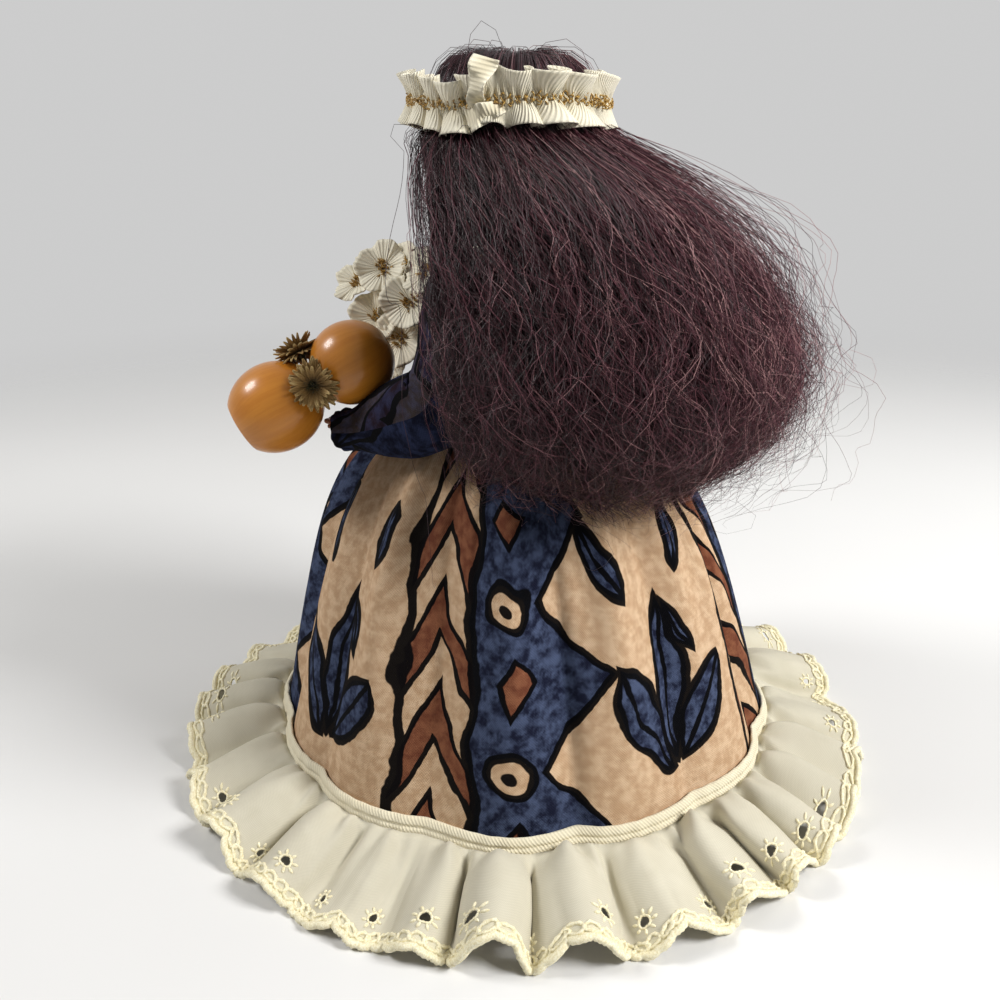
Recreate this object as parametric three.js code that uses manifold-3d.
// Kneeling hula doll with a gourd drum, in millimetres, +Z up, facing -Y, her left side at +X.
// The origin is the middle of the skirt's ruffle, on the surface that the doll kneels on.
import * as THREE from 'three';
import { mergeVertices } from 'three/addons/utils/BufferGeometryUtils.js';
import Module from 'manifold-3d';

const wasm = await Module();
wasm.setup();

// Clearances and thicknesses
const GAP = 0.3;
const CLOTH = 0.8;
const RIBBON = 0.9;
const EASE = 0.6;
const SLIVER = 0.05;

// Levels and body axis
const BODY_Y = -3;
const HIP_Z = 47;
const WAIST_Z = 88.5;
const SHOULDER_Z = 117;
const SHOULDER_RISE = 7;
const NECK_TOP_Z = 133;

// Torso: half widths and half depths at the hip, waist, bust and shoulder, and its hollow
const HIP_HALF = [17.5, 12.5];
const WAIST_HALF = [13.5, 9.8];
const BUST_HALF = [15.6, 11.4];
const SHOULDER_HALF = [17, 9];
const TORSO_WALL = 1.7;
const NECK_RADIUS = 5.3;
const KNOB_RADIUS = 6.4;
const KNOB_TALL = 4;

// Head: half width, half depth, height above and below its centre
const HEAD_HALF = [16.5, 17.5];
const HEAD_ABOVE = 15.2;
const HEAD_BELOW = 18;
const HEAD_Z = 147;
const HEAD_FORWARD = 1;
const HAIR_DEPTH = 3;

// Arms: joints of the left arm, which the right arm mirrors
const ARM_DISC = 5;
const ELBOW = new THREE.Vector3(30.5, 1, 95.5);
const WRIST = new THREE.Vector3(35.8, -18.5, 87.8);
const UPPER_ARM = 4.5;
const FOREARM = 3.9;
const WRIST_RADIUS = 2.6;
const HAND_AIM = new THREE.Vector3(-0.2, -0.97, -0.05).normalize();
const PALM_LONG = 7;
const PALM_HALF = [3.1, 1.7];
const FINGER_LONG = 6;
const FINGER_RADIUS = 0.75;

// Shoulder elastic: a cord knotted in both arms
const ELASTIC_RADIUS = 1.1;
const KNOT_RADIUS = 1.9;
const KNOT_INSET = 1.7;

// Sleeves
const SLEEVE_ROOT = 7.6;
const SLEEVE_FULL = 9;
const SLEEVE_SAG = 1.2;
const SLEEVE_CUFF = 4.6;
const SLEEVE_REACH = 0.3;

// Legs: folded under her, cut flat where they rest
const LEG_X = 12;
const KNEE_Y = -44;
const TOE_Y = 47;
const FOOT_LONG = 19;
const THIGH_SINK = 8;
const THIGH_RADIUS = 10.5;
const KNEE_RADIUS = 8.5;
const CALF_RADIUS = 8;
const ANKLE_RADIUS = 4.6;

// Skirt: a bell with soft folds
const HEM_Z = 8;
const HEM_RADIUS = 61.2;
const WAIST_RADIUS = 17.5;
const BELL_TAPER = 0.5;
const FOLDS = 12;
const FOLD_DEPTH = 1.1;

// Trim at the hem
const TAPE_TALL = 4;
const TAPE_THICK = 1.1;
const TAPE_SEAT = 0.4;
const RUFFLE_RADIUS = 86;
const RUFFLE_THICK = 0.7;
const SCALLOPS = 44;
const SCALLOP_DEPTH = 1.6;
const FLUTES = 22;
const FLUTE_RISE = 1.7;

// Ruffled ribbon leis
const HEAD_LEI_Z = 154.5;
const HEAD_LEI_WIDE = 10.5;
const HEAD_LEI_FRILL = 2.6;
const HEAD_LEI_RUFFLES = 14;
const NECK_LEI_HALF = [12.4, 13.5];
const NECK_LEI_BACK = 13;
const NECK_LEI_FRONT = 33;
const NECK_LEI_RISE = 0.25;
const NECK_LEI_FALL = 17;
const LEI_CORD = 1.3;
const CORD_SIDES = 6;
const ROSETTES = 12;
const ROSETTE_RADIUS = [3.8, 6.3];
const ROSETTE_SPREAD = 2.6;
const ROSETTE_DISH = 1.4;
const ROSETTE_WAVE = 0.8;
const ROSETTE_LOBES = 3;

// Gourd drum: two turned beads on a dowel, and two dried flowers in its waist
const GOURD_WAIST = new THREE.Vector3(38.8, -28.5, 96.8);
const GOURD_AIM = new THREE.Vector3(0.643, -0.602, -0.474).normalize();
const LOWER_RADIUS = 9.9;
const LOWER_LONG = 18.6;
const LOWER_FLAT = 6.1;
const UPPER_RADIUS = 9.2;
const UPPER_LONG = 18;
const UPPER_MOUTH = 2.6;
const WAIST_FLAT = 3;
const DOWEL_RADIUS = 1.7;
const DOWEL_DEEP = 7;
const FLOWER_RADIUS = 5.4;
const FLOWER_PLEAT = 0.45;
const FLOWER_STALK = 0.6;
const FLOWER_PLEATS = 15;
const FLOWER_AIMS = [
  new THREE.Vector3(0.742, 0.642, 0.192),
  new THREE.Vector3(0.04, -0.59, 0.8),
];

// Hair fall: height, centre, half depth and half width of its sections, from crown to tips
const HAIR_SECTIONS = [
  [147.4, -1, 20.8, 22.5],
  [139, 6, 28, 29],
  [129, 13, 33, 35],
  [115, 20, 36, 40],
  [101, 24, 36, 44],
  [89, 21, 33, 39],
  [79, 19, 27, 29],
  [73, 19, 19, 18],
];
const HAIR_EASE = 1;
const HAIR_LINE = 6;

const TURN = 2 * Math.PI;
const UP = new THREE.Vector3(0, 0, 1);
const point = (x, y, z) => new THREE.Vector3(x, y, z);
const mix = THREE.MathUtils.lerp;
const clamp01 = (value) => THREE.MathUtils.clamp(value, 0, 1);

// A closed mesh from points and triangles, turned so that its faces point out.
function closedMesh(points, faces) {
  let volume = 0;
  for (const [a, b, c] of faces) {
    volume += points[a].dot(points[b].clone().cross(points[c]));
  }
  const order = volume < 0 ? faces.map(([a, b, c]) => [a, c, b]) : faces;
  const geometry = new THREE.BufferGeometry();
  const flat = points.flatMap((p) => [p.x, p.y, p.z]);
  geometry.setAttribute('position', new THREE.Float32BufferAttribute(flat, 3));
  geometry.setIndex(order.flat());
  geometry.computeVertexNormals();
  return geometry;
}

// A skin over a row of rings with as many points each, its ends capped or joined in a loop.
function skin(rings, loop = false) {
  const count = rings[0].length;
  const points = rings.flat();
  const faces = [];
  const spans = loop ? rings.length : rings.length - 1;
  for (let i = 0; i < spans; i += 1) {
    const low = i * count;
    const high = ((i + 1) % rings.length) * count;
    for (let j = 0; j < count; j += 1) {
      const next = (j + 1) % count;
      faces.push([low + j, low + next, high + next], [low + j, high + next, high + j]);
    }
  }
  if (!loop) {
    const ends = [[rings[0], 0, true], [rings.at(-1), (rings.length - 1) * count, false]];
    for (const [ring, first, reverse] of ends) {
      const middle = ring.reduce((sum, p) => sum.add(p), point(0, 0, 0)).divideScalar(count);
      const hub = points.push(middle) - 1;
      for (let j = 0; j < count; j += 1) {
        const next = first + ((j + 1) % count);
        faces.push(reverse ? [hub, next, first + j] : [hub, first + j, next]);
      }
    }
  }
  return closedMesh(points, faces);
}

// Points round an ellipse that lies level.
function levelRing(x, y, z, halfWide, halfDeep, count) {
  return Array.from({ length: count }, (_, i) => {
    const turn = (TURN * i) / count;
    return point(x + halfWide * Math.sin(turn), y - halfDeep * Math.cos(turn), z);
  });
}

// Rings square to each station's direction, carried along without twisting.
// A station is [centre, direction, radius across, radius through].
function pathRings(stations, sides, grow = 0, start = UP) {
  let across = start.clone();
  return stations.map(([centre, direction, wide, deep = wide]) => {
    const along = direction.clone().normalize();
    across = across.clone().addScaledVector(along, -across.dot(along)).normalize();
    const through = along.clone().cross(across);
    return Array.from({ length: sides }, (_, i) => {
      const turn = (TURN * i) / sides;
      return centre.clone()
        .addScaledVector(across, (wide + grow) * Math.cos(turn))
        .addScaledVector(through, (deep + grow) * Math.sin(turn));
    });
  });
}

// A revolve about +Z of a profile of [radius, height] pairs.
function revolve(profile, sides, x = 0, y = 0) {
  const outline = profile.map(([r, z]) => new THREE.Vector2(r, z));
  const geometry = new THREE.LatheGeometry(outline, sides);
  return geometry.rotateX(Math.PI / 2).translate(x, y, 0);
}

// A rod along +X.
function rodAlongX(radius, from, to, y, z, sides) {
  const geometry = new THREE.CylinderGeometry(radius, radius, to - from, sides);
  return geometry.rotateZ(Math.PI / 2).translate((from + to) / 2, y, z);
}

function box(low, high) {
  const size = high.clone().sub(low);
  const middle = high.clone().add(low).multiplyScalar(0.5);
  return new THREE.BoxGeometry(size.x, size.y, size.z).translate(middle.x, middle.y, middle.z);
}

function solid(geometry) {
  const bare = geometry.clone();
  bare.deleteAttribute('normal');
  bare.deleteAttribute('uv');
  const merged = mergeVertices(bare, 1e-4);
  const vertProperties = new Float32Array(merged.getAttribute('position').array);
  const triVerts = new Uint32Array(merged.index.array);
  return new wasm.Manifold(new wasm.Mesh({ numProp: 3, vertProperties, triVerts }));
}

function meshOf(body) {
  const { vertProperties, triVerts } = body.getMesh();
  const geometry = new THREE.BufferGeometry();
  geometry.setAttribute('position', new THREE.Float32BufferAttribute(vertProperties, 3));
  geometry.setIndex(Array.from(triVerts));
  geometry.computeVertexNormals();
  return geometry;
}

function cut(geometry, ...tools) {
  return meshOf(tools.reduce((body, tool) => body.subtract(solid(tool)), solid(geometry)));
}

function join(geometry, ...more) {
  return meshOf(more.reduce((body, other) => body.add(solid(other)), solid(geometry)));
}

// The same body with the slivers that joins leave merged away.
function simpler(geometry) {
  return meshOf(solid(geometry).simplify(SLIVER));
}

function mirrored(geometry) {
  const copy = geometry.clone().scale(-1, 1, 1);
  const order = Array.from(copy.index.array);
  for (let i = 0; i < order.length; i += 3) {
    [order[i + 1], order[i + 2]] = [order[i + 2], order[i + 1]];
  }
  copy.setIndex(order);
  copy.computeVertexNormals();
  return copy;
}

// Torso: half width and half depth by height
const NECK_BASE_Z = SHOULDER_Z + SHOULDER_RISE;
const TORSO_SECTIONS = [
  [HIP_Z, ...HIP_HALF],
  [mix(HIP_Z, WAIST_Z, 0.35), ...HIP_HALF.map((half) => half * 0.94)],
  [mix(HIP_Z, WAIST_Z, 0.75), ...WAIST_HALF],
  [WAIST_Z, ...WAIST_HALF],
  [mix(WAIST_Z, SHOULDER_Z, 0.45), ...BUST_HALF],
  [mix(WAIST_Z, SHOULDER_Z, 0.75), mix(BUST_HALF[0], SHOULDER_HALF[0], 0.5), BUST_HALF[1]],
  [SHOULDER_Z, ...SHOULDER_HALF],
  [mix(SHOULDER_Z, NECK_BASE_Z, 0.55), SHOULDER_HALF[0] * 0.74, SHOULDER_HALF[1] * 0.8],
  [NECK_BASE_Z, NECK_RADIUS + 0.9, NECK_RADIUS + 0.6],
];

function torsoAt(z) {
  const top = Math.max(1, TORSO_SECTIONS.findIndex(([level]) => level >= z));
  const [lowZ, lowWide, lowDeep] = TORSO_SECTIONS[top - 1];
  const [highZ, highWide, highDeep] = TORSO_SECTIONS[top];
  const share = (z - lowZ) / (highZ - lowZ);
  return [mix(lowWide, highWide, share), mix(lowDeep, highDeep, share)];
}

const TORSO_SIDES = 24;

function torsoHalf(side) {
  const sides = TORSO_SIDES;
  const neck = [
    [NECK_BASE_Z + 2.5, NECK_RADIUS],
    [NECK_TOP_Z, NECK_RADIUS],
    [NECK_TOP_Z + 0.3 * KNOB_TALL, KNOB_RADIUS],
    [NECK_TOP_Z + 0.7 * KNOB_TALL, KNOB_RADIUS],
    [NECK_TOP_Z + KNOB_TALL, 0.6 * KNOB_RADIUS],
  ].map(([z, radius]) => levelRing(0, BODY_Y, z, radius, radius, sides));
  const outer = TORSO_SECTIONS.map(([z, wide, deep]) => levelRing(0, BODY_Y, z, wide, deep, sides));
  const hollow = TORSO_SECTIONS.slice(0, -1).map(([z, wide, deep], i) => {
    const level = i === 0 ? z + TORSO_WALL : z;
    return levelRing(0, BODY_Y, level, wide - TORSO_WALL, deep - TORSO_WALL, sides);
  });
  const reach = 2 * HIP_HALF[0];
  const seam = BODY_Y + side * GAP / 2;
  const away = seam - side * reach;
  const otherSide = box(
    point(-reach, Math.min(seam, away), HIP_Z - reach),
    point(reach, Math.max(seam, away), NECK_TOP_Z + reach),
  );
  const armBore = rodAlongX(KNOT_RADIUS + 1.2, -reach, reach, BODY_Y, SHOULDER_Z, 16);
  return cut(skin([...outer, ...neck]), skin(hollow), armBore, otherSide);
}

// Arm seats: the flat disc of each arm lies on the torso's side
const ARM_SEAT_X = SHOULDER_HALF[0] + GAP;
const SHOULDER = point(ARM_SEAT_X, BODY_Y, SHOULDER_Z);
const UPPER_AIM = ELBOW.clone().sub(SHOULDER).normalize();
const FORE_AIM = WRIST.clone().sub(ELBOW).normalize();
const alongUpper = (share) => SHOULDER.clone().lerp(ELBOW, share);
const alongFore = (share) => ELBOW.clone().lerp(WRIST, share);

function fingers() {
  const across = HAND_AIM.clone().cross(UP).normalize();
  const knuckle = WRIST.clone().addScaledVector(HAND_AIM, PALM_LONG - 1);
  const pitch = (2 * (PALM_HALF[0] - FINGER_RADIUS)) / 3;
  const long = [0.82, 0.97, 1, 0.9];
  const rows = long.map((share, i) => {
    const from = knuckle.clone().addScaledVector(across, (1.5 - i) * pitch);
    const aim = HAND_AIM.clone().addScaledVector(UP, 0.12).normalize();
    return [from, aim, FINGER_LONG * share];
  });
  const thumbFrom = WRIST.clone().addScaledVector(HAND_AIM, 0.4 * PALM_LONG);
  thumbFrom.addScaledVector(across, -0.7 * PALM_HALF[0]);
  const thumbAim = HAND_AIM.clone().addScaledVector(across, -0.55).addScaledVector(UP, 0.1);
  rows.push([thumbFrom, thumbAim.normalize(), 0.8 * FINGER_LONG]);
  return rows.map(([from, aim, length]) => {
    const stations = [[0, 1], [0.55, 1], [0.9, 0.85], [1, 0.45]].map(([share, size]) => (
      [from.clone().addScaledVector(aim, length * share), aim, FINGER_RADIUS * size]
    ));
    return skin(pathRings(stations, 6));
  });
}

function leftArm() {
  const toHand = WRIST.clone().addScaledVector(HAND_AIM, 0.25 * PALM_LONG);
  const knuckle = WRIST.clone().addScaledVector(HAND_AIM, PALM_LONG);
  const level = HAND_AIM.clone().cross(UP).normalize();
  const arm = pathRings([
    [SHOULDER, point(1, 0, 0), ARM_DISC],
    [SHOULDER.clone().add(point(0.5 * ARM_DISC, 0, -0.1)), point(1, 0, -0.1), 0.97 * ARM_DISC],
    [alongUpper(0.36).add(point(2.6, 0, 1.8)), point(0.8, 0.1, -0.6), UPPER_ARM],
    [alongUpper(0.6).add(point(1, 0, 0.6)), UPPER_AIM, UPPER_ARM],
    [alongUpper(0.86), UPPER_AIM.clone().addScaledVector(FORE_AIM, 0.25), FOREARM + 0.2],
    [alongFore(0.06), UPPER_AIM.clone().add(FORE_AIM), FOREARM + 0.3],
    [alongFore(0.3), FORE_AIM, FOREARM],
    [alongFore(0.65), FORE_AIM, mix(FOREARM, WRIST_RADIUS, 0.55)],
    [alongFore(0.95), FORE_AIM.clone().add(HAND_AIM), WRIST_RADIUS],
  ], 14);
  const palm = pathRings([
    [WRIST.clone().addScaledVector(HAND_AIM, -1.2), HAND_AIM, 0.8 * WRIST_RADIUS, 0.7 * WRIST_RADIUS],
    [toHand, HAND_AIM, 0.85 * PALM_HALF[0], PALM_HALF[1]],
    [toHand.clone().lerp(knuckle, 0.5), HAND_AIM, ...PALM_HALF],
    [knuckle, HAND_AIM, 0.92 * PALM_HALF[0], 0.75 * PALM_HALF[1]],
  ], 12, 0, level);
  const knotEnd = ARM_SEAT_X + KNOT_INSET + 2 * (KNOT_RADIUS + GAP);
  const cordBore = rodAlongX(ELASTIC_RADIUS + GAP, ARM_SEAT_X - 1, knotEnd, BODY_Y, SHOULDER_Z, 18);
  const pocket = rodAlongX(
    KNOT_RADIUS + GAP, ARM_SEAT_X + KNOT_INSET, knotEnd, BODY_Y, SHOULDER_Z, 18,
  );
  return cut(join(skin(arm), skin(palm), ...fingers()), cordBore, pocket);
}

function shoulderElastic() {
  const knotX = ARM_SEAT_X + KNOT_INSET + GAP + KNOT_RADIUS;
  const cord = rodAlongX(ELASTIC_RADIUS, -knotX, knotX, BODY_Y, SHOULDER_Z, 10);
  const knots = [-knotX, knotX].map((x) => (
    new THREE.SphereGeometry(KNOT_RADIUS, 10, 6).translate(x, BODY_Y, SHOULDER_Z)
  ));
  return join(cord, ...knots);
}

// Sleeve: a full cloth tube from the armhole that sags under the forearm and ends in a narrow cuff
const ARMHOLE_X = SHOULDER_HALF[0] + EASE + CLOTH + GAP;

function sleeveRings(grow) {
  const root = point(ARMHOLE_X, BODY_Y, SHOULDER_Z - 1);
  const bend = alongUpper(0.42).add(point(2.8, 0.2, 4.2));
  return pathRings([
    [root, point(1, 0, 0), SLEEVE_ROOT],
    [bend, point(0.75, 0.05, -0.66), 0.95 * SLEEVE_ROOT],
    [alongUpper(0.64).add(point(2.2, 0.2, 1.6)), point(0.32, 0.12, -0.94), 0.85 * SLEEVE_FULL],
    [alongFore(0.03), UPPER_AIM.clone().add(FORE_AIM), SLEEVE_FULL],
    [alongFore(0.36).addScaledVector(UP, -SLEEVE_SAG), FORE_AIM, 0.96 * SLEEVE_FULL],
    [alongFore(0.68).addScaledVector(UP, -SLEEVE_SAG), FORE_AIM, mix(SLEEVE_CUFF, SLEEVE_FULL, 0.6)],
    [WRIST.clone().addScaledVector(FORE_AIM, SLEEVE_REACH), FORE_AIM, SLEEVE_CUFF],
  ], 16, grow);
}

function leftSleeve() {
  return skin([...sleeveRings(0), ...sleeveRings(-CLOTH).reverse()], true);
}

// Legs: thigh, shin and foot moulded as one, under the hip and flat on the ground
function leftLeg() {
  const hip = point(LEG_X - 1, BODY_Y + 1, HIP_Z - THIGH_SINK);
  const knee = point(LEG_X + 1, KNEE_Y, KNEE_RADIUS + 3);
  const kneeDown = point(LEG_X + 1, KNEE_Y - 1, KNEE_RADIUS - 0.5);
  const ankle = point(LEG_X, TOE_Y - FOOT_LONG, ANKLE_RADIUS + 0.4);
  const toe = point(LEG_X, TOE_Y, ANKLE_RADIUS - 1);
  const thighAim = knee.clone().sub(hip).normalize();
  const shinAim = ankle.clone().sub(kneeDown).normalize();
  const thigh = pathRings([
    [hip.clone().addScaledVector(thighAim, -0.75 * THIGH_RADIUS), thighAim, 0.6 * THIGH_RADIUS],
    [hip, thighAim, THIGH_RADIUS],
    [hip.clone().lerp(knee, 0.5), thighAim, 0.95 * THIGH_RADIUS],
    [knee, thighAim, KNEE_RADIUS],
    [knee.clone().addScaledVector(thighAim, 0.75 * KNEE_RADIUS), thighAim, 0.55 * KNEE_RADIUS],
  ], 14);
  const shin = pathRings([
    [kneeDown.clone().addScaledVector(shinAim, -0.7 * KNEE_RADIUS), shinAim, 0.6 * KNEE_RADIUS],
    [kneeDown, shinAim, 0.95 * KNEE_RADIUS],
    [kneeDown.clone().lerp(ankle, 0.45), shinAim, CALF_RADIUS],
    [ankle, shinAim, ANKLE_RADIUS],
    [ankle.clone().lerp(toe, 0.5), shinAim, 0.8 * ANKLE_RADIUS, 1.25 * ANKLE_RADIUS],
    [toe, shinAim, 0.55 * ANKLE_RADIUS, 1.1 * ANKLE_RADIUS],
  ], 14);
  const far = 2 * TOE_Y;
  const ground = box(point(-far, -far, -far), point(far, far, 0));
  const seat = box(point(-far, -far, HIP_Z - GAP), point(far, far, HIP_Z + far));
  return cut(join(skin(thigh), skin(shin)), ground, seat);
}

// Skirt: radius of the bell by its share of the height, with folds that fade at waist and hem
const BELL_POWER = 6;
const BELL_ROUND = 0.6;

function bellRadius(share) {
  const swell = (1 - BELL_TAPER * share) * (1 - share ** BELL_POWER) ** BELL_ROUND;
  return mix(WAIST_RADIUS, HEM_RADIUS, swell);
}

function skirtPoint(turn, share, grow) {
  const step = 0.01;
  const low = Math.max(0, share - step);
  const high = Math.min(1, share + step);
  const tall = WAIST_Z - HEM_Z;
  const slope = (bellRadius(high) - bellRadius(low)) / ((high - low) * tall);
  const steep = Math.hypot(1, slope);
  const fold = FOLD_DEPTH * (0.3 + 0.7 * Math.sin(Math.PI * share)) * Math.cos(FOLDS * turn);
  const radius = bellRadius(share) + fold + grow / steep;
  const z = HEM_Z + tall * share - (grow * slope) / steep;
  return point(radius * Math.sin(turn), BODY_Y * share - radius * Math.cos(turn), z);
}

const SKIRT_STEPS = 4 * FOLDS;
const turnAt = (i, steps) => (TURN * i) / steps;

function skirtRings(grow, levels) {
  return Array.from({ length: levels + 1 }, (_, k) => {
    const share = 1 - (1 - k / levels) ** 1.6;
    return Array.from({ length: SKIRT_STEPS }, (__, i) => (
      skirtPoint(turnAt(i, SKIRT_STEPS), share, grow)
    ));
  });
}

function dressSkirt() {
  return skin([...skirtRings(0, 8), ...skirtRings(-CLOTH, 8).reverse()], true);
}

// Bodice: a loose shell from the waist seam to the neckline, with two armholes
const NECKLINE_Z = mix(SHOULDER_Z, NECK_BASE_Z, 0.72);

function bodiceRings(grow) {
  const seam = WAIST_Z + GAP;
  const levels = TORSO_SECTIONS.map(([z]) => z).filter((z) => z > seam && z < NECKLINE_Z);
  return [seam, ...levels, NECKLINE_Z].map((z) => {
    const [wide, deep] = torsoAt(z);
    const fit = clamp01((1.5 * (z - seam)) / (NECKLINE_Z - seam));
    return levelRing(
      0, BODY_Y, z,
      mix(WAIST_RADIUS, wide + EASE + CLOTH, fit) + grow,
      mix(WAIST_RADIUS, deep + EASE + CLOTH, fit) + grow, TORSO_SIDES,
    );
  });
}

function dressBodice() {
  const shell = skin([...bodiceRings(0), ...bodiceRings(-CLOTH).reverse()], true);
  const reach = 2 * SHOULDER_HALF[0];
  const inner = 0.86 * SHOULDER_HALF[0];
  const hole = ARM_DISC + 1.2;
  return cut(
    shell,
    rodAlongX(hole, inner, reach, BODY_Y, SHOULDER_Z, 18),
    rodAlongX(hole, -reach, -inner, BODY_Y, SHOULDER_Z, 18),
  );
}

// Hem tape: a corded band sewn round the foot of the skirt
function hemTape() {
  const section = [[0, 0.05], [1, 0], [0.75, 0.5], [1, 1], [0, 0.95], [0, 0.5]];
  const share = (z) => (z - HEM_Z) / (WAIST_Z - HEM_Z);
  const rings = section.map(([out, up]) => (
    Array.from({ length: SKIRT_STEPS }, (_, i) => {
      const level = share(HEM_Z + 0.4 + up * TAPE_TALL);
      return skirtPoint(turnAt(i, SKIRT_STEPS), level, TAPE_SEAT + out * TAPE_THICK);
    })
  ));
  return skin(rings, true);
}

// Eyelet ruffle: fluted, with a scalloped edge that touches the ground
function eyeletRuffle() {
  const steps = 3 * SCALLOPS;
  const ringAt = (share, top) => Array.from({ length: steps }, (_, i) => {
    const turn = turnAt(i, steps);
    const inner = skirtPoint(turn, 0, GAP);
    const start = Math.hypot(inner.x, inner.y);
    const scallop = SCALLOP_DEPTH * share * Math.abs(Math.sin(0.5 * SCALLOPS * turn));
    const radius = mix(start, RUFFLE_RADIUS - SCALLOP_DEPTH, share) + scallop;
    const flute = FLUTE_RISE * share * (1 + Math.cos(FLUTES * turn));
    const fall = (HEM_Z - RUFFLE_THICK) * (1 - share) ** 1.2;
    const z = fall + flute + (top ? RUFFLE_THICK : 0);
    return point(radius * Math.sin(turn), -radius * Math.cos(turn), z);
  });
  const shares = [0, 0.5, 1];
  const upper = shares.map((share) => ringAt(share, true));
  const lower = shares.map((share) => ringAt(share, false));
  return skin([...upper, ...lower.reverse()], true);
}

// Head: a rounded doll's head with nose, sockets, lips, chin, cheeks and ears in relief
const HEAD_Y = BODY_Y - HEAD_FORWARD;
const FACE_RELIEF = [
  [0, -9, 7, 9, 1.9],
  [21, 3, 9, 7, -0.9],
  [-21, 3, 9, 7, -0.9],
  [0, -27, 12, 4.5, 0.8],
  [0, -47, 15, 9, 0.9],
  [33, -20, 13, 12, 0.7],
  [-33, -20, 13, 12, 0.7],
  [92, -4, 6, 10, 1.3],
  [-92, -4, 6, 10, 1.3],
];

function headPoint(lon, lat, grow, relief) {
  const rounding = 0.86;
  const up = Math.sin(lat);
  const level = Math.abs(Math.cos(lat)) ** rounding;
  const tall = Math.sign(up) * Math.abs(up) ** rounding;
  const jaw = up < 0 ? 1 - 0.12 * up * up : 1;
  const degrees = THREE.MathUtils.radToDeg;
  const bump = relief ? FACE_RELIEF.reduce((sum, [lon0, lat0, wide, high, rise]) => {
    const across = (degrees(lon) - lon0) / wide;
    const along = (degrees(lat) - lat0) / high;
    return sum + rise * Math.exp(-across * across - along * along);
  }, 0) : 0;
  const extra = grow + bump;
  return point(
    (HEAD_HALF[0] * jaw + extra) * level * Math.sin(lon),
    HEAD_Y - (HEAD_HALF[1] * jaw + extra) * level * Math.cos(lon),
    HEAD_Z + ((up < 0 ? HEAD_BELOW : HEAD_ABOVE) + extra) * tall,
  );
}

// Rings of the head, with more points towards the face where the relief needs them.
function headRings(sides, levels, grow, relief) {
  const crowd = relief ? 0.45 : 0;
  return Array.from({ length: levels }, (_, k) => {
    const lat = Math.PI * ((k + 0.5) / levels - 0.5);
    return Array.from({ length: sides }, (__, i) => {
      const turn = turnAt(i, sides) - Math.PI;
      return headPoint(turn - crowd * Math.sin(turn), lat, grow, relief);
    });
  });
}

function headWithSocket() {
  const socket = revolve([
    [0, HEAD_Z - 2 * HEAD_BELOW],
    [NECK_RADIUS + GAP, HEAD_Z - 2 * HEAD_BELOW],
    [NECK_RADIUS + GAP, NECK_TOP_Z - GAP],
    [KNOB_RADIUS + GAP, NECK_TOP_Z + 0.3 * KNOB_TALL - GAP],
    [KNOB_RADIUS + GAP, NECK_TOP_Z + 0.7 * KNOB_TALL + GAP],
    [0.6 * KNOB_RADIUS + GAP, NECK_TOP_Z + KNOB_TALL + GAP],
    [0, NECK_TOP_Z + KNOB_TALL + GAP],
  ], 20, 0, BODY_Y);
  return cut(skin(headRings(28, 20, 0, true)), socket);
}

// Hair crown: a cap over the skull, open at the face and ending above the nape
const NAPE_Z = HEAD_Z - 0.82 * HEAD_BELOW;
const CROWN_SEAT = 2 * GAP;
const EAR_ROOM = 6.6;

function hairCrown() {
  const outer = skin(headRings(20, 12, HAIR_DEPTH, false));
  const inner = skin(headRings(20, 12, CROWN_SEAT, false));
  const far = 3 * HEAD_HALF[1];
  const faceWide = 0.8 * HEAD_HALF[0];
  const faceTop = HEAD_Z + 0.55 * HEAD_ABOVE;
  const window = new THREE.Shape();
  window.moveTo(-faceWide, NAPE_Z - far);
  window.lineTo(faceWide, NAPE_Z - far);
  window.lineTo(faceWide, mix(HEAD_Z, faceTop, 0.3));
  window.quadraticCurveTo(faceWide, faceTop, 0, faceTop);
  window.quadraticCurveTo(-faceWide, faceTop, -faceWide, mix(HEAD_Z, faceTop, 0.3));
  const face = new THREE.ExtrudeGeometry(window, { depth: far, bevelEnabled: false, curveSegments: 6 });
  face.rotateX(Math.PI / 2).translate(0, HEAD_Y - 0.1 * HEAD_HALF[1], 0);
  const ears = [-1, 1].map((side) => (
    new THREE.SphereGeometry(EAR_ROOM, 10, 8).translate(side * HEAD_HALF[0], HEAD_Y, HEAD_Z - 1)
  ));
  const below = box(point(-far, -far, NAPE_Z - far), point(far, far, NAPE_Z));
  return cut(outer, inner, face, below, ...ears);
}

// A ruffled ribbon ring: its stitched middle follows the path, both edges stand off in frills.
// The path gives, for each turn, the middle, the ways out and across, the width and the frills' height.
function ruffledRing(path, ruffles) {
  const steps = 5 * ruffles;
  const rows = [-1, 0, 1].map((side) => (
    [0, RIBBON].map((raise) => (
      Array.from({ length: steps }, (_, i) => {
        const turn = turnAt(i, steps);
        const [middle, out, across, wide, stand] = path(turn);
        const wave = 0.5 + 0.5 * Math.cos(ruffles * turn + side * Math.PI / 2);
        const frill = side === 0 ? 0 : stand * wave;
        return middle.clone()
          .addScaledVector(across, side * wide / 2)
          .addScaledVector(out, frill + raise);
      })
    ))
  ));
  const [low, mid, high] = rows;
  return skin([low[1], mid[1], high[1], high[0], mid[0], low[0]], true);
}

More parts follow.
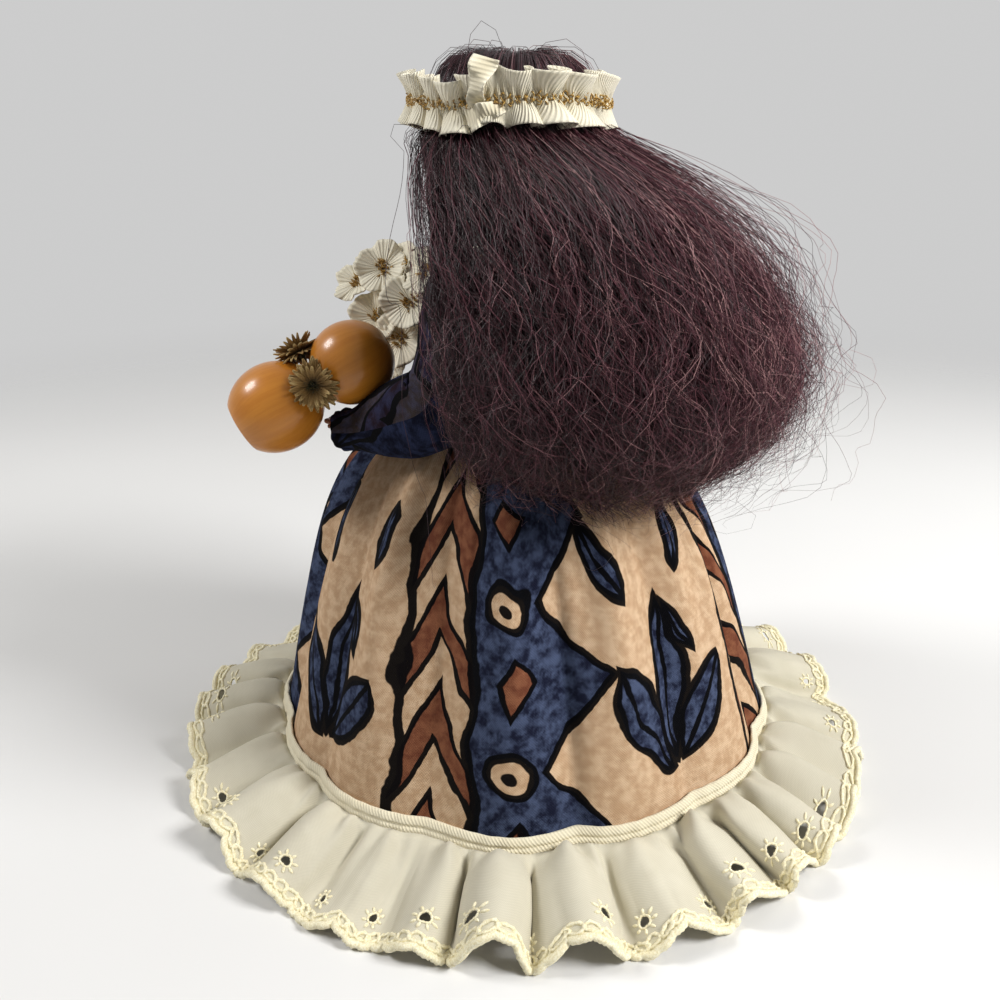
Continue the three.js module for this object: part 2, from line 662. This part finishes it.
function headLei() {
  const lat = Math.asin(((HEAD_LEI_Z - HEAD_Z) / (HEAD_ABOVE + HAIR_DEPTH)) ** (1 / 0.86));
  const widest = headPoint(0, lat - 0.3, HAIR_DEPTH, false);
  const half = [HEAD_HALF[0] - HEAD_HALF[1], 0].map((less) => HEAD_Y - widest.y + less + GAP);
  return ruffledRing((turn) => {
    const out = point(Math.sin(turn), -Math.cos(turn), 0);
    const middle = point(half[0] * out.x, HEAD_Y + half[1] * out.y, HEAD_LEI_Z);
    return [middle, out, UP, HEAD_LEI_WIDE, HEAD_LEI_FRILL];
  }, HEAD_LEI_RUFFLES);
}

// Neck lei: rosettes on a cord that lies on the shoulders behind the neck and falls in front of the chest.
function neckLeiMiddle(turn) {
  const front = (1 + Math.cos(turn)) / 2;
  return point(
    mix(...NECK_LEI_HALF, front) * Math.sin(turn),
    BODY_Y + mix(NECK_LEI_BACK, -NECK_LEI_FRONT, front),
    NECK_BASE_Z + NECK_LEI_RISE - NECK_LEI_FALL * front ** 3,
  );
}

// The ways out from the lei's cord and across it. It faces up behind and outwards in front.
function neckLeiFrame(turn) {
  const step = 0.01;
  const along = neckLeiMiddle(turn + step).sub(neckLeiMiddle(turn - step)).normalize();
  const front = (1 + Math.cos(turn)) / 2;
  const out = point(Math.sin(turn), -Math.cos(turn), 0);
  out.multiplyScalar(mix(0.05, 1, clamp01(1.6 * front))).addScaledVector(UP, mix(0.8, 0.4, front));
  out.addScaledVector(along, -out.dot(along)).normalize();
  return [out, along.clone().cross(out).normalize()];
}

// A ribbon rosette with a waved rim and a knotted heart, made along +Z.
function rosette(radius) {
  const sides = 4 * ROSETTE_LOBES;
  const ringAt = (share, raise) => Array.from({ length: sides }, (_, i) => {
    const turn = turnAt(i, sides);
    const wave = ROSETTE_WAVE * share * Math.cos(ROSETTE_LOBES * turn);
    const out = radius * share;
    return point(out * Math.cos(turn), out * Math.sin(turn), raise + ROSETTE_DISH * share + wave);
  });
  const shares = [0.25, 1];
  const upper = shares.map((share) => ringAt(share, RIBBON));
  const lower = shares.map((share) => ringAt(share, 0));
  const heart = new THREE.SphereGeometry(0.34 * radius, 6, 4).rotateX(Math.PI / 2);
  return join(skin([...upper, ...lower.reverse()], true), heart);
}

function neckLei() {
  const steps = 2 * ROSETTES;
  const cord = skin(Array.from({ length: steps }, (_, i) => {
    const turn = turnAt(i, steps);
    const [out, across] = neckLeiFrame(turn);
    return Array.from({ length: CORD_SIDES }, (__, j) => (
      neckLeiMiddle(turn)
        .addScaledVector(out, LEI_CORD * Math.cos(turnAt(j, CORD_SIDES)))
        .addScaledVector(across, LEI_CORD * Math.sin(turnAt(j, CORD_SIDES)))
    ));
  }), true);
  const flowers = Array.from({ length: ROSETTES }, (_, i) => {
    const turn = turnAt(i + 0.5, ROSETTES) - 0.4 * Math.sin(turnAt(i + 0.5, ROSETTES));
    const front = (1 + Math.cos(turn)) / 2;
    const [out, across] = neckLeiFrame(turn);
    const row = i % 2 === 0 ? 1 : -1;
    const centre = neckLeiMiddle(turn).addScaledVector(across, row * ROSETTE_SPREAD * front);
    const turned = new THREE.Quaternion().setFromUnitVectors(UP, out);
    const flower = rosette(mix(...ROSETTE_RADIUS, front ** 2)).rotateZ(i);
    return flower.applyQuaternion(turned).translate(centre.x, centre.y, centre.z);
  });
  return simpler(join(cord, ...flowers));
}

// Hair fall: the long hair behind her, clear of head, dress, lei and sleeves
function hairFall() {
  const mass = skin(HAIR_SECTIONS.map(([z, y, deep, wide]) => levelRing(0, y, z, wide, deep, 24)));
  const crown = skin(headRings(20, 12, HAIR_DEPTH + GAP, false));
  const leiBack = NECK_LEI_BACK + ROSETTE_RADIUS[0] + ROSETTE_WAVE + 4 * HAIR_EASE;
  const leiTop = NECK_BASE_Z + NECK_LEI_RISE + RIBBON + ROSETTE_DISH + ROSETTE_WAVE + GAP;
  const trunk = revolve([
    [0, WAIST_Z - 10],
    [leiBack, WAIST_Z - 10],
    [leiBack, leiTop],
    [NECK_RADIUS + 2, NAPE_Z - GAP],
    [0, NAPE_Z - GAP],
  ], 24, 0, BODY_Y);
  const bell = skin(skirtRings(HAIR_EASE + FOLD_DEPTH, 8));
  const sleeve = skin(sleeveRings(HAIR_EASE));
  const front = new THREE.Shape();
  const far = 2 * RUFFLE_RADIUS;
  front.moveTo(-far, 0);
  front.lineTo(BODY_Y + HAIR_LINE, 0);
  front.lineTo(BODY_Y + HAIR_LINE, SHOULDER_Z);
  front.lineTo(BODY_Y - HAIR_LINE, NAPE_Z);
  front.lineTo(BODY_Y - HAIR_LINE, far);
  front.lineTo(-far, far);
  const ahead = new THREE.ExtrudeGeometry(front, { depth: 2 * far, bevelEnabled: false });
  ahead.rotateX(Math.PI / 2).rotateZ(Math.PI / 2).translate(-far, 0, 0);
  return cut(mass, crown, trunk, bell, sleeve, mirrored(sleeve), ahead);
}

// Gourd drum, made along +Z from its waist, the lower gourd at -Z.
// A gourd is [radius, length, radius of its end flat], and its skin is given by an angle from the waist.
const LOWER_GOURD = [LOWER_RADIUS, LOWER_LONG, LOWER_FLAT];
const UPPER_GOURD = [UPPER_RADIUS, UPPER_LONG, UPPER_MOUTH];
const DOWEL_BORE = DOWEL_RADIUS + GAP;

function gourdSkin([radius, long, endFlat], angle) {
  const low = -Math.sqrt(1 - (WAIST_FLAT / radius) ** 2);
  const high = Math.sqrt(1 - (endFlat / radius) ** 2);
  const rise = (-Math.cos(angle) - low) / (high - low);
  return [radius * Math.sin(angle), mix(GAP / 2, long, rise)];
}

function gourdOutline(gourd) {
  const [radius, , endFlat] = gourd;
  const from = Math.asin(WAIST_FLAT / radius);
  const to = Math.PI - Math.asin(endFlat / radius);
  const steps = 8;
  return Array.from({ length: steps + 1 }, (_, i) => gourdSkin(gourd, mix(from, to, i / steps)));
}

function lowerGourd() {
  const bottom = DOWEL_DEEP + GAP;
  const bore = [[0, bottom], [DOWEL_BORE, bottom], [DOWEL_BORE, GAP / 2]];
  return revolve([...bore, ...gourdOutline(LOWER_GOURD), [0, LOWER_LONG]], 24).rotateX(Math.PI);
}

function upperGourd() {
  const waist = [DOWEL_BORE, GAP / 2];
  return revolve([waist, ...gourdOutline(UPPER_GOURD), [DOWEL_BORE, UPPER_LONG], waist], 24);
}

// The radius from the drum's axis where both gourds leave room for a half width between them.
function radiusWithRoom(half) {
  const clear = (gourd, r) => r >= gourd[0] || gourdSkin(gourd, Math.asin(r / gourd[0]))[1] >= half;
  let r = WAIST_FLAT;
  while (!clear(LOWER_GOURD, r) || !clear(UPPER_GOURD, r)) {
    r += 0.05;
  }
  return r;
}

function dowel() {
  const rod = new THREE.CylinderGeometry(DOWEL_RADIUS, DOWEL_RADIUS, 2 * DOWEL_DEEP, 12);
  return rod.rotateX(Math.PI / 2);
}

// A pleated dried flower on a short stalk, made along +Z from the gourd's waist.
function driedFlower() {
  const steps = 2 * FLOWER_PLEATS;
  const foot = radiusWithRoom(FLOWER_STALK + GAP);
  const seat = radiusWithRoom(FLOWER_RADIUS + FLOWER_PLEAT + GAP) + FLOWER_PLEAT;
  const rows = [
    [FLOWER_STALK, foot, 0],
    [2 * FLOWER_STALK, seat - 1.6, 0],
    [FLOWER_RADIUS, seat, FLOWER_PLEAT],
    [0.93 * FLOWER_RADIUS, seat + 1, FLOWER_PLEAT],
    [0.35 * FLOWER_RADIUS, seat - 0.1, 0.2 * FLOWER_PLEAT],
  ];
  return skin(rows.map(([radius, z, pleat]) => (
    Array.from({ length: steps }, (_, i) => {
      const turn = turnAt(i, steps);
      const wave = Math.cos(FLOWER_PLEATS * turn);
      const out = radius + 0.4 * pleat * wave;
      return point(out * Math.cos(turn), out * Math.sin(turn), z + pleat * wave);
    })
  )));
}

// Materials
const material = (color, roughness) => new THREE.MeshStandardMaterial({ color, roughness, metalness: 0 });
const SKIN_TONE = 0x8a5a3c;
const PRINT = 0xa08a6c;
const NAVY_PRINT = 0x2c3450;
const IVORY = 0xf2ead2;
const HAIR_TONE = 0x3a262c;
const WOOD = 0xc07a32;
const DRIED = 0x6b5a34;

const doll = new THREE.Group();

function add(name, geometry, look, parent = doll) {
  const mesh = new THREE.Mesh(geometry, look);
  mesh.name = name;
  parent.add(mesh);
  return mesh;
}

add('torso_front', torsoHalf(-1), material(SKIN_TONE, 0.5));
add('torso_back', torsoHalf(1), material(SKIN_TONE, 0.5));
add('shoulder_elastic', shoulderElastic(), material(0xe8e2d4, 0.8));
add('left_leg', leftLeg(), material(SKIN_TONE, 0.5));
add('right_leg', mirrored(leftLeg()), material(SKIN_TONE, 0.5));
add('dress_skirt', dressSkirt(), material(PRINT, 0.85));
add('dress_bodice', dressBodice(), material(PRINT, 0.85));
add('hem_tape', hemTape(), material(IVORY, 0.8));
add('eyelet_ruffle', eyeletRuffle(), material(0xe2ded2, 0.85));
add('neck_lei', neckLei(), material(IVORY, 0.7));
add('head', headWithSocket(), material(SKIN_TONE, 0.45));
add('hair_crown', hairCrown(), material(HAIR_TONE, 0.6));
add('hair_fall', hairFall(), material(HAIR_TONE, 0.6));
add('head_lei', headLei(), material(IVORY, 0.7));
add('left_arm', leftArm(), material(SKIN_TONE, 0.5));
add('right_arm', mirrored(leftArm()), material(SKIN_TONE, 0.5));
add('left_sleeve', leftSleeve(), material(NAVY_PRINT, 0.85));
add('right_sleeve', mirrored(leftSleeve()), material(NAVY_PRINT, 0.85));

const ipu = new THREE.Group();
ipu.position.copy(GOURD_WAIST);
ipu.quaternion.setFromUnitVectors(UP, GOURD_AIM.clone().negate());
add('ipu_lower_gourd', lowerGourd(), material(WOOD, 0.25), ipu);
add('ipu_upper_gourd', upperGourd(), material(WOOD, 0.25), ipu);
add('ipu_dowel', dowel(), material(0xb08a5a, 0.6), ipu);
const backToIpu = ipu.quaternion.clone().invert();
FLOWER_AIMS.forEach((aim, i) => {
  const flower = add(`ipu_flower_${i + 1}`, driedFlower(), material(DRIED, 0.9), ipu);
  const square = aim.clone().addScaledVector(GOURD_AIM, -aim.dot(GOURD_AIM)).normalize();
  flower.quaternion.setFromUnitVectors(UP, square.applyQuaternion(backToIpu));
});
doll.add(ipu);

export default doll;
